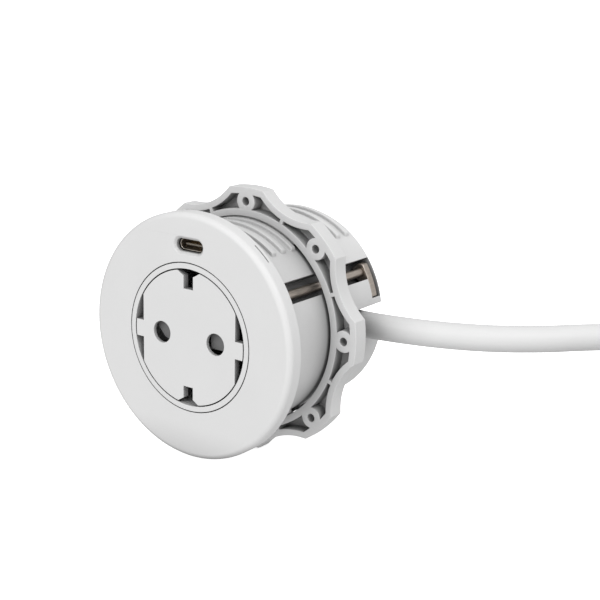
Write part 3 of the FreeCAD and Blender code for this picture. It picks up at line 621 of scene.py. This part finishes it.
# ---- pin shutter, seen through the pin holes ------------------------------------------------------------
def make_shutter(bm):
    outline = [(-12.75, 6.4), (-12.75, 0.65), (-11.4, -0.84), (-10.2, -2.1), (-9.1, -2.5), (6.3, -2.5), (6.9, -2.2), (12.75, -2.2),
               (12.75, 6.4), (1.5, 6.4), (1.5, 0.4), (-1.5, 0.4), (-1.5, 6.4)]
    plate(bm, [(outline, ease(2.3, 4.3, 0.12, 0, 2), "outer")]
          + [([(x0, -1.98), (x0 + 1.9, -1.98), (x0 + 1.9, 5.5), (x0, 5.5)], ease(2.3, 4.3), "through") for x0 in (-6.15, 4.25)])


done(solid("pin_shutter_plate", make_shutter), "pin_shutter", "shutter_plastic", "pin_shutter")

# ---- lock ring -----------------------------------------------------------------------------------------
RING_Y0, RING_Y1 = 24.49, 29.49


def lobed(r_lobe, half, r_valley, n_lobe, n_valley):
    out = []
    for k in range(8):
        c = 45 * k
        out += arc(r_lobe, c - half, c + half, n_lobe)[:-1]
        out += arc3(pol(r_lobe, c + half), pol(r_valley, c + 22.5), pol(r_lobe, c + 45 - half), n_valley)[:-1]
    return out


def ring_pocket():
    # one pocket beside the boss of the lobe at 0 degrees
    hub, wall, at, boss, rib = 32.15, 36.4, 34.35, 3.1, 0.565
    xa, xb = (hub ** 2 + at ** 2 - boss ** 2) / (2 * at), (wall ** 2 + at ** 2 - boss ** 2) / (2 * at)
    a = (xa, math.sqrt(hub ** 2 - xa ** 2))
    b = (xb, math.sqrt(wall ** 2 - xb ** 2))
    ang = [math.degrees(math.atan2(p[1], p[0] - at)) for p in (a, b)]
    out = arc(boss, ang[0], ang[1], 16, at, 0)
    out += arc(wall, math.degrees(math.atan2(b[1], b[0])), 8.3, 5)[1:]
    valley = arc3(pol(36.4, 8.3), pol(33.2, 22.5), pol(36.4, 36.7), 48)
    c, s = math.cos(math.radians(22.5)), math.sin(math.radians(22.5))
    side = [p for p in valley if -p[0] * s + p[1] * c < -rib]
    out += side[1:]
    u = math.sqrt(hub ** 2 - rib ** 2)
    last = side[-1]
    nxt = valley[len(side)]
    t0, t1 = (-p[0] * s + p[1] * c for p in (last, nxt))
    f = (-rib - t0) / (t1 - t0)
    out.append((last[0] + f * (nxt[0] - last[0]), last[1] + f * (nxt[1] - last[1])))
    e = (u * c + rib * s, u * s - rib * c)
    out += arc(hub, math.degrees(math.atan2(e[1], e[0])), math.degrees(math.atan2(a[1], a[0])), 16)
    return tidy(out, 0.02)


def make_ring(bm):
    loops = [(lobed(38.45, 9.0, 35.15, 10, 20), ease(RING_Y0, RING_Y1, 0.2, 0.2, 3), "outer"),
             (circle(30.1, 240), ease(RING_Y0, RING_Y1, 0.15, 0.15, 3, True), "through")]
    pocket = ring_pocket()
    steps = [(RING_Y0, 0.14), (RING_Y0 + 0.03, 0.07), (RING_Y0 + 0.1, 0.02), (RING_Y0 + 0.2, 0.0), (RING_Y0 + 3.55, -0.1), (RING_Y0 + 3.72, -0.16), (RING_Y0 + 3.8, -0.3)]
    for k in range(8):
        c, s = math.cos(math.radians(45 * k)), math.sin(math.radians(45 * k))
        for sign in (1, -1):
            loops.append(([(x * c - sign * z * s, x * s + sign * z * c) for x, z in pocket], steps, "blind"))
        loops.append((circle(1.2, 40, *pol(34.35, 45 * k)), ease(RING_Y0, RING_Y1, 0.12, 0.12, 3, True), "through"))
    plate(bm, loops)
    for a0 in (56, 236):
        plate(bm, [(arc(30.6, a0, a0 + 68, 60) + arc(29.25, a0 + 68, a0, 60), ease(25.0, 26.7, 0.15, 0.15, 2), "outer")])


done(solid("lobed_lock_ring", make_ring), "lock_ring", "ring_plastic", "lock_ring")

# ---- housing -------------------------------------------------------------------------------------------
SLOT_A, SLOT_HALF = 30.2, 3.035
CLAMP_X, CLAMP_Z = 23.30, 13.24
RIB_R, RIB_W, RIB_PITCH, RIB_Y0 = 29.8, 1.75, 4.38, 9.45
COVER_AT = [pol(24.6, 120.0), pol(24.6, 300.0)]


def make_ribs(bm):
    # each rib is an arc-shaped bar with eased edges that runs out in a short ramp at both ends
    for base in (0, 180):
        for i in range(10):
            y = RIB_Y0 + RIB_PITCH * i
            stations = [(52.3, 0.0), (52.75, 0.35), (53.3, 0.75), (53.8, 0.95), (54.3, 1.0)]
            stations += [(54.3 + 71.4 * k / 60, 1.0) for k in range(1, 60)]
            stations += [(180 - a, h) for a, h in reversed(stations[:5])]
            rings = []
            for a, h in stations:
                top = 28.97 + (RIB_R - 28.97) * h
                g = 0.10 + 0.10 * h
                pts = [(28.4, y - 0.20), (28.9, y - 0.16), (top - g, y - 0.03), (top - g * 0.3, y + g * 0.35), (top, y + g * 1.1),
                       (top, y + RIB_W - g * 1.1), (top - g * 0.3, y + RIB_W - g * 0.35), (top - g, y + RIB_W + 0.03), (28.9, y + RIB_W + 0.16), (28.4, y + RIB_W + 0.20)]
                c, s = math.cos(math.radians(a + base)), math.sin(math.radians(a + base))
                rings.append([bm.verts.new((r * c, yy, r * s)) for r, yy in pts])
            n = len(rings[0])
            for p, q in zip(rings, rings[1:]):
                for k in range(n):
                    bm.faces.new((p[k], p[(k + 1) % n], q[(k + 1) % n], q[k]))
            bm.faces.new(rings[0])
            bm.faces.new(rings[-1])


def in_body(bm_maker):
    # the part of a block that lies inside the body's outside
    o = solid("block", bm_maker)
    combine(o, "INTERSECT", lambda bm: rod(bm, 28.7, 0, 60, n=256))

    def add(bm):
        bm.from_mesh(o.data)
    return o, add


housing = solid("housing_body", lambda bm: lathe(bm, [
    (21.1, 2.7), (33.3, 2.7), (33.52, 2.78), (33.6, 3.0), (33.6, FLANGE_BACK - 0.25), (33.52, FLANGE_BACK - 0.08), (33.35, FLANGE_BACK), (29.35, FLANGE_BACK),
    (29.1, FLANGE_BACK + 0.08), (29.0, FLANGE_BACK + 0.3), (29.0, 52.35), (28.94, 52.62), (28.7, 52.8), (27.4, 52.8), (27.4, FLANGE_BACK), (21.1, FLANGE_BACK)], 288))
join(housing, make_ribs)
temps = []
inside = []
for half in (0, 180):
    for maker in (lambda bm, h=half: radial_block(bm, SLOT_A + h, 22.9, 29.5, -4.2, 4.2, 4.2, 52.7),
                  lambda bm, h=half: wedge(bm, 24.8, 29.5, 11.5 + h, 38.0 + h, 47.2, 52.7)):
        o, add = in_body(maker)
        temps.append(o)
        inside.append(add)
for maker in (lambda bm: block(bm, 16.8, 29.5, 37.6, 52.7, -5.85, 5.85),
              *[lambda bm, x=x, z=z: rod(bm, 3.0, 40.0, 50.8, x, z) for x, z in COVER_AT]):
    o, add = in_body(maker)
    temps.append(o)
    inside.append(add)
join(housing, *inside,
     lambda bm: block(bm, 12.8, 18.0, 37.7, 38.8, -9.3, 9.3),
     *[lambda bm, z=z: rod(bm, 2.2, 38.5, 46.5, 14.8, z) for z in (-6.9, 6.9)],
     *[lambda bm, x=x, z=z: rod(bm, 2.5, 4.3, 12.0, x, z) for x, z in WELL_SCREWS],
     lambda bm: block(bm, 6.15, 7.9, 4.25, 24.0, 22.1, 26.9), lambda bm: block(bm, -7.9, -6.15, 4.25, 24.0, 22.1, 26.9), overlap=True)
for o in temps:
    bpy.data.meshes.remove(o.data)
for half, sx in ((0, 1), (180, -1)):
    cut(housing, lambda bm: radial_block(bm, SLOT_A + half, 24.0, 33, -SLOT_HALF, SLOT_HALF, FLANGE_BACK + 0.001, 52.25),
        lambda bm: wedge(bm, 25.9, 33, 12.9 + half, 36.2 + half, 48.2, 52.25), overlap=True)
    cut(housing, lambda bm: rod(bm, 1.38, 2.0, 6.0, sx * CLAMP_X, sx * CLAMP_Z), lambda bm: rod(bm, 2.95, 2.0, 3.4, sx * CLAMP_X, sx * CLAMP_Z), overlap=True)
cut(housing, lambda bm: block(bm, 18.0, 33, 38.8, 54, -4.65, 4.65, 0.4),
    lambda bm: lathe(bm, [(0, 15.0), (3.97, 15.0), (3.97, 19.5), (0, 19.5)], 64, "X", (0, 43.15, 0)), overlap=True)
cut(housing, lambda bm: plate(bm, [(stadium(9.5, 3.8, 0, USB_Z), ease(2.0, 6.0), "outer")]),
    lambda bm: block(bm, -4.75, 4.75, FLANGE_BACK + 0.003, 8.7, 23.7, 27.45), lambda bm: block(bm, -6.85, 6.85, FLANGE_BACK + 0.005, 31.0, 22.70, 24.04), overlap=True)
cut(housing, *[lambda bm, x=x, z=z: rod(bm, 0.95, 2.0, 11.0, x, z, 24) for x, z in WELL_SCREWS],
    *[lambda bm, x=x, z=z: rod(bm, 1.05, 42.0, 51.5, x, z, 24) for x, z in COVER_AT],
    *[lambda bm, z=z: rod(bm, 0.9, 40.0, 47.0, 14.8, z, 24) for z in (-6.9, 6.9)])
done(housing, "housing", "shell_plastic", "housing")

# ---- clamp screws and claws ------------------------------------------------------------------------------
CENTRE_A, CENTRE_R = math.degrees(math.atan2(CLAMP_Z, CLAMP_X)), math.hypot(CLAMP_X, CLAMP_Z)


def make_claw(bm):
    hub, outer, inner, tip = 2.6, 28.9, 26.25, 13.4
    xo = (outer ** 2 + CENTRE_R ** 2 - hub ** 2) / (2 * CENTRE_R)
    xi = (inner ** 2 + CENTRE_R ** 2 - hub ** 2) / (2 * CENTRE_R)
    zo, zi = math.sqrt(outer ** 2 - xo ** 2), math.sqrt(inner ** 2 - xi ** 2)
    ao, ai = math.degrees(math.atan2(zo, xo)), math.degrees(math.atan2(zi, xi))
    h0 = CENTRE_A + math.degrees(math.atan2(zo, xo - CENTRE_R))
    h1 = CENTRE_A + 360 + math.degrees(math.atan2(-zi, xi - CENTRE_R))
    pts = arc(outer, tip + 0.6, CENTRE_A + ao, 20)[:-1] + arc(hub, h0, h1, 40, CLAMP_X, CLAMP_Z)[:-1]
    pts += arc(inner, CENTRE_A - ai, tip + 0.6, 14)
    corner = [pol(inner + 0.25, tip + 0.1), pol(inner + 0.8, tip), pol(outer - 0.6, tip), pol(outer - 0.15, tip + 0.15)]
    pts += corner
    plate(bm, [(pts, ease(48.5, 50.9, 0.36, 0.2, 5), "outer"),
               (circle(1.36, 48, CLAMP_X, CLAMP_Z), ease(48.5, 50.9, 0.15, 0.1, 2, True), "through")])


def make_clamp_screw(bm):
    lathe(bm, [(0, 1.8), (2.45, 1.8), (2.68, 1.9), (2.75, 2.1), (2.75, 3.3), (2.67, 3.38), (1.3, 3.38), (1.3, 51.85), (1.05, 52.1), (0, 52.1)], 64, "Y", (CLAMP_X, 0, CLAMP_Z))


for side, sign in (("right", 1), ("left", -1)):
    move = None if sign == 1 else TURN
    done(solid("claw_" + side, make_claw), "clamp_claw_" + side, "zinc_steel", "clamp_claw_" + side, move=move)
    screw = solid("screw_" + side, make_clamp_screw)
    cut(screw, lambda bm: block(bm, CLAMP_X - 1.6, CLAMP_X + 1.6, 1, 2.7, CLAMP_Z - 0.3, CLAMP_Z + 0.3),
        lambda bm: block(bm, CLAMP_X - 0.3, CLAMP_X + 0.3, 1, 2.7, CLAMP_Z - 1.6, CLAMP_Z + 1.6), overlap=True)
    done(screw, "clamp_screw_" + side, "zinc_steel", "clamp_screw_" + side, move=move)

# ---- USB-C port ------------------------------------------------------------------------------------------
USB_W, USB_H, USB_WALL = 8.94, 3.26, 0.3
done(solid("usb_port_shell", lambda bm: plate(bm, [
    (stadium(USB_W, USB_H, 0, USB_Z, 18), ease(1.95, 8.25, 0.1, 0.2, 3), "outer"),
    (stadium(USB_W - 2 * USB_WALL, USB_H - 2 * USB_WALL, 0, USB_Z, 18), ease(1.95, 7.9, 0.1, 0, 3, True), "blind")])),
    "housing", "usb_steel", "usb_shell")


def make_tongue(bm):
    pts = rounded([(-3.35, 25.15), (3.35, 25.15), (3.35, 25.65), (-3.35, 25.65)], 0.18, 3)
    plate(bm, [(pts, ease(3.0, 7.0, 0.15, 0, 3), "outer")])
    plate(bm, [(stadium(USB_W - 2 * USB_WALL - 0.06, USB_H - 2 * USB_WALL - 0.06, 0, USB_Z, 18), ease(6.4, 7.85, 0.1, 0, 2), "outer")])


done(solid("usb_port_tongue", make_tongue), "housing", "usb_plastic", "usb_tongue")


def make_pads(bm):
    for i in range(12):
        x = -2.75 + 0.5 * i
        for z0, z1 in ((25.63, 25.68), (25.12, 25.17)):
            block(bm, x - 0.13, x + 0.13, 3.35, 6.45, z0, z1)


done(solid("usb_contacts", make_pads), "housing", "gold")

# ---- rear cover --------------------------------------------------------------------------------------------
cover = solid("rear_cover_disc", lambda bm: lathe(bm, [(0, 50.8), (27.25, 50.8), (27.25, 52.45), (27.15, 52.7), (26.9, 52.8), (0, 52.8)], 256))
cut(cover, lambda bm: block(bm, 16.65, 31, 50, 54, -6.0, 6.0, 0.5))
for half in (0, 180):
    cut(cover, lambda bm: wedge(bm, 24.65, 31, 11.2 + half, 38.3 + half, 50, 54), lambda bm: radial_block(bm, SLOT_A + half, 22.75, 31.5, -4.35, 4.35, 50, 54), overlap=True)
join(cover, *[lambda bm, x=x: rod(bm, 1.8, 47.8, 51.0, x, 13.5, 32) for x in (-10.0, 10.0)])
cut(cover, *[lambda bm, x=x, z=z: lathe(bm, [(0, 50), (1.15, 50), (1.15, 51.0), (2.6, 52.45), (2.6, 54), (0, 54)], 48, "Y", (x, 0, z)) for x, z in COVER_AT],
    *[lambda bm, x=x: rod(bm, 0.8, 47.0, 51.6, x, 13.5, 24) for x in (-10.0, 10.0)])
done(cover, "housing", "shell_plastic", "rear_cover")


# ---- springs -------------------------------------------------------------------------------------------------
def helix(radius, length, turns, start, axis):
    out, n = [], 28
    for i in range(int(turns * n) + 1):
        f = i / n
        # the turns rise evenly along the whole length
        h = length * (f / turns)
        c, s = radius * math.cos(2 * math.pi * f), radius * math.sin(2 * math.pi * f)
        out.append((start[0] + c, start[1] + h, start[2] + s) if axis == "Y" else (start[0] + c, start[1] + s, start[2] + h))
    return out


for i, (x, z) in enumerate([(sx * 14.6, z) for sx in (-1, 1) for z in (-8.2, 8.2)]):
    spring = solid("floor_spring_%d" % (i + 1), lambda bm: sweep(bm, helix(1.3, 28.2, 11, (x, 2.37, z), "Y"), 0.17, 8))
    done(spring, "housing", "spring_steel", "floor_springs", sharp=60)
    spring.modifiers.clear()
    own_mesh(spring)
spring = solid("shutter_return_spring", lambda bm: sweep(bm, helix(0.8, 11.45, 8, (0, 3.3, 0.71), "Z"), 0.14, 8))
done(spring, "sliding_floor", "spring_steel", "shutter_spring", sharp=60)
spring.modifiers.clear()
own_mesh(spring)

# ---- what is on the cord: tie, strain relief, plug ---------------------------------------------------------------
S, E = Vector(TAIL[-2]), Vector(TAIL[-1])
PDIR = (E - S).normalized()
PLUG = Matrix.Translation(S - PDIR * 9.2) @ Matrix.Rotation(math.atan2(PDIR.y, PDIR.x), 4, "Z")


def smooth_profile(pts, radii):
    return [(max(0.0, r), h) for h, r in rounded([(h, r) for r, h in pts], radii, 5)]


relief = solid("plug_sleeve", lambda bm: lathe(bm, smooth_profile(
    [(3.85, 8), (5.2, 8), (5.6, 10), (7.4, 30), (7.6, 34), (3.85, 34)], [0.1, 0.4, 0.8, 0.8, 0, 0]), 96, "X"))


def relief_grooves(bm):
    for i in range(5):
        x = 12.0 + 4.0 * i
        r0, r1 = 4.35 + 0.075 * x, 12.0
        for a0 in (14, 194):
            # a groove over part of the way round, so that two webs are left
            n, rings = 40, []
            for k in range(n + 1):
                a = math.radians(a0 + 152 * k / n)
                rings.append([bm.verts.new((h, r * math.sin(a), r * math.cos(a))) for r, h in ((r0, x), (r1, x), (r1, x + 1.8), (r0, x + 1.8))])
            for p, q in zip(rings, rings[1:]):
                for k in range(4):
                    bm.faces.new((p[k], p[(k + 1) % 4], q[(k + 1) % 4], q[k]))
            bm.faces.new(rings[0])
            bm.faces.new(rings[-1])


cut(relief, relief_grooves)
done(relief, "housing", "cord_jacket", "plug_strain_relief", move=PLUG)

plug = solid("mains_plug", lambda bm: lathe(bm, smooth_profile(
    [(0, 34), (9.2, 34), (11.0, 37), (13.2, 44), (15.0, 52), (17.4, 57), (18.4, 59), (18.4, 74), (0, 74)],
    [0, 0.8, 4, 12, 5, 2, 1.5, 0.7, 0]), 160, "X"))
cut(plug, lambda bm: block(bm, 58, 78, 16.4, 26.4, -2.8, 2.8, 0.3), lambda bm: block(bm, 58, 78, -26.4, -16.4, -2.8, 2.8, 0.3),
    lambda bm: block(bm, 60, 90, -4.5, 4.5, 17.1, 21.1, 0.3), lambda bm: block(bm, 60, 90, -4.5, 4.5, -21.1, -17.1, 0.3),
    *[lambda bm, y=y: lathe(bm, [(0, 70), (2.02, 70), (2.02, 78), (0, 78)], 48, "X", (0, y, 0)) for y in (-9.5, 9.5)])
done(plug, "housing", "plug_plastic", "plug_body", move=PLUG)
pins = solid("plug_pin_pair", *[lambda bm, y=y: lathe(bm, smooth_profile(
    [(0, 70), (2.0, 70), (2.0, 74.3), (2.4, 74.3), (2.4, 91.4), (1.2, 93.0), (0, 93.0)], [0, 0, 0, 0.1, 0.6, 0.5, 0]), 56, "X", (0, y, 0)) for y in (-9.5, 9.5)])
done(pins, "housing", "nickel", "plug_pins", move=PLUG)

TIE_IN = (27.7, 58.1, -37.35, -21.85)


def make_tie(bm):
    # a flat band round the bundle of turns, drawn in its own plane
    x0, x1, z0, z1 = TIE_IN
    inner = rounded([(x0, z0), (x1, z0), (x1, z1), (x0, z1)], 3.6, 8)
    plate(bm, [(inner, [(-4.5, 0.75), (-4.42, 0.88), (-4.3, 0.9), (4.3, 0.9), (4.42, 0.88), (4.5, 0.75)], "outer"),
               (inner, [(-4.5, 0.15), (-4.42, 0.02), (-4.3, 0.0), (4.3, 0.0), (4.42, 0.02), (4.5, 0.15)], "through")])


tie = solid("cord_strap", make_tie)
done(tie, "housing", "tie", "cord_tie", move=Matrix.Translation(Vector((163.5, 56.4, 0))) @ Matrix.Rotation(math.radians(235), 4, "Z"))

# ---- the cord rides with the housing and replaces the imported cord pieces -----------------------------------------
cord_curve.materials.append(MATS["cord_jacket"])
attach(mains_cord, "housing")
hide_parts("cord", "cord_coil", "cord_tail")

# ---- floor, light ----------------------------------------------------------------------------------------------------
bm = bmesh.new()
bmesh.ops.create_grid(bm, x_segments=8, y_segments=8, size=30.0)
ground_mesh = bpy.data.meshes.new("ground")
bm.to_mesh(ground_mesh)
bm.free()
ground = bpy.data.objects.new("ground", ground_mesh)
ground.location = (0.1, 0.1, -0.0002)
scene.collection.objects.link(ground)
m, t, s, at = material("ground")
t.links.new(blend_colours(t, spread(t, noise(t, at, 3.0, 3), 0, 1), tone(246, 246, 246), tone(248, 248, 248)), s.inputs["Base Color"])
s.inputs["Roughness"].default_value = 0.9
s.inputs["Specular IOR Level"].default_value = 0.1
s.inputs["Emission Color"].default_value = (1, 1, 1, 1)
s.inputs["Emission Strength"].default_value = 0.8
ground_mesh.materials.append(m)
ground.visible_diffuse = False
ground.visible_glossy = False

world = bpy.data.worlds.new("studio")
scene.world = world
world.use_nodes = True
wt = world.node_tree
back = wt.nodes["Background"]
geo = wt.nodes.new("ShaderNodeTexCoord")
sep = wt.nodes.new("ShaderNodeSeparateXYZ")
wt.links.new(geo.outputs["Generated"], sep.inputs["Vector"])
# a soft box on each side of the studio: its share grows with the square of how far the direction points that way
total = None
for part, sign, share in (("X", 1, 0.83), ("X", -1, 0.35), ("Y", 1, 0.77), ("Y", -1, 1.27), ("Z", 1, 0.83), ("Z", -1, 0.76)):
    steps = []
    for operation, value in (("MULTIPLY", sign), ("MAXIMUM", 0.0), ("POWER", 2.0), ("MULTIPLY", share)):
        n = wt.nodes.new("ShaderNodeMath")
        n.operation = operation
        n.inputs[1].default_value = value
        wt.links.new(steps[-1].outputs["Value"] if steps else sep.outputs[part], n.inputs[0])
        steps.append(n)
    if total is None:
        total = steps[-1]
    else:
        n = wt.nodes.new("ShaderNodeMath")
        n.operation = "ADD"
        wt.links.new(total.outputs["Value"], n.inputs[0])
        wt.links.new(steps[-1].outputs["Value"], n.inputs[1])
        total = n
wt.links.new(total.outputs["Value"], back.inputs["Strength"])
back.inputs["Color"].default_value = (1, 1, 1, 1)


def panel_light(name, at, towards, size, power):
    data = bpy.data.lights.new(name, "AREA")
    data.shape, data.size, data.size_y, data.energy = "RECTANGLE", size[0], size[1], power
    o = bpy.data.objects.new(name, data)
    o.location = at
    o.rotation_mode = "QUATERNION"
    o.rotation_quaternion = (Vector(towards) - Vector(at)).to_track_quat("-Z", "Y")
    scene.collection.objects.link(o)


panel_light("key", (0.75, -0.25, 0.85), (0.0, 0.0, 0.04), (0.5, 0.5), 4.6)
panel_light("fill", (0.0, -0.9, 0.7), (0.0, 0.0, 0.04), (0.5, 0.5), 3.55)
scene.view_settings.view_transform = "Standard"
scene.view_settings.look = "None"
scene.view_settings.exposure = 0.0
scene.view_settings.gamma = 1.0
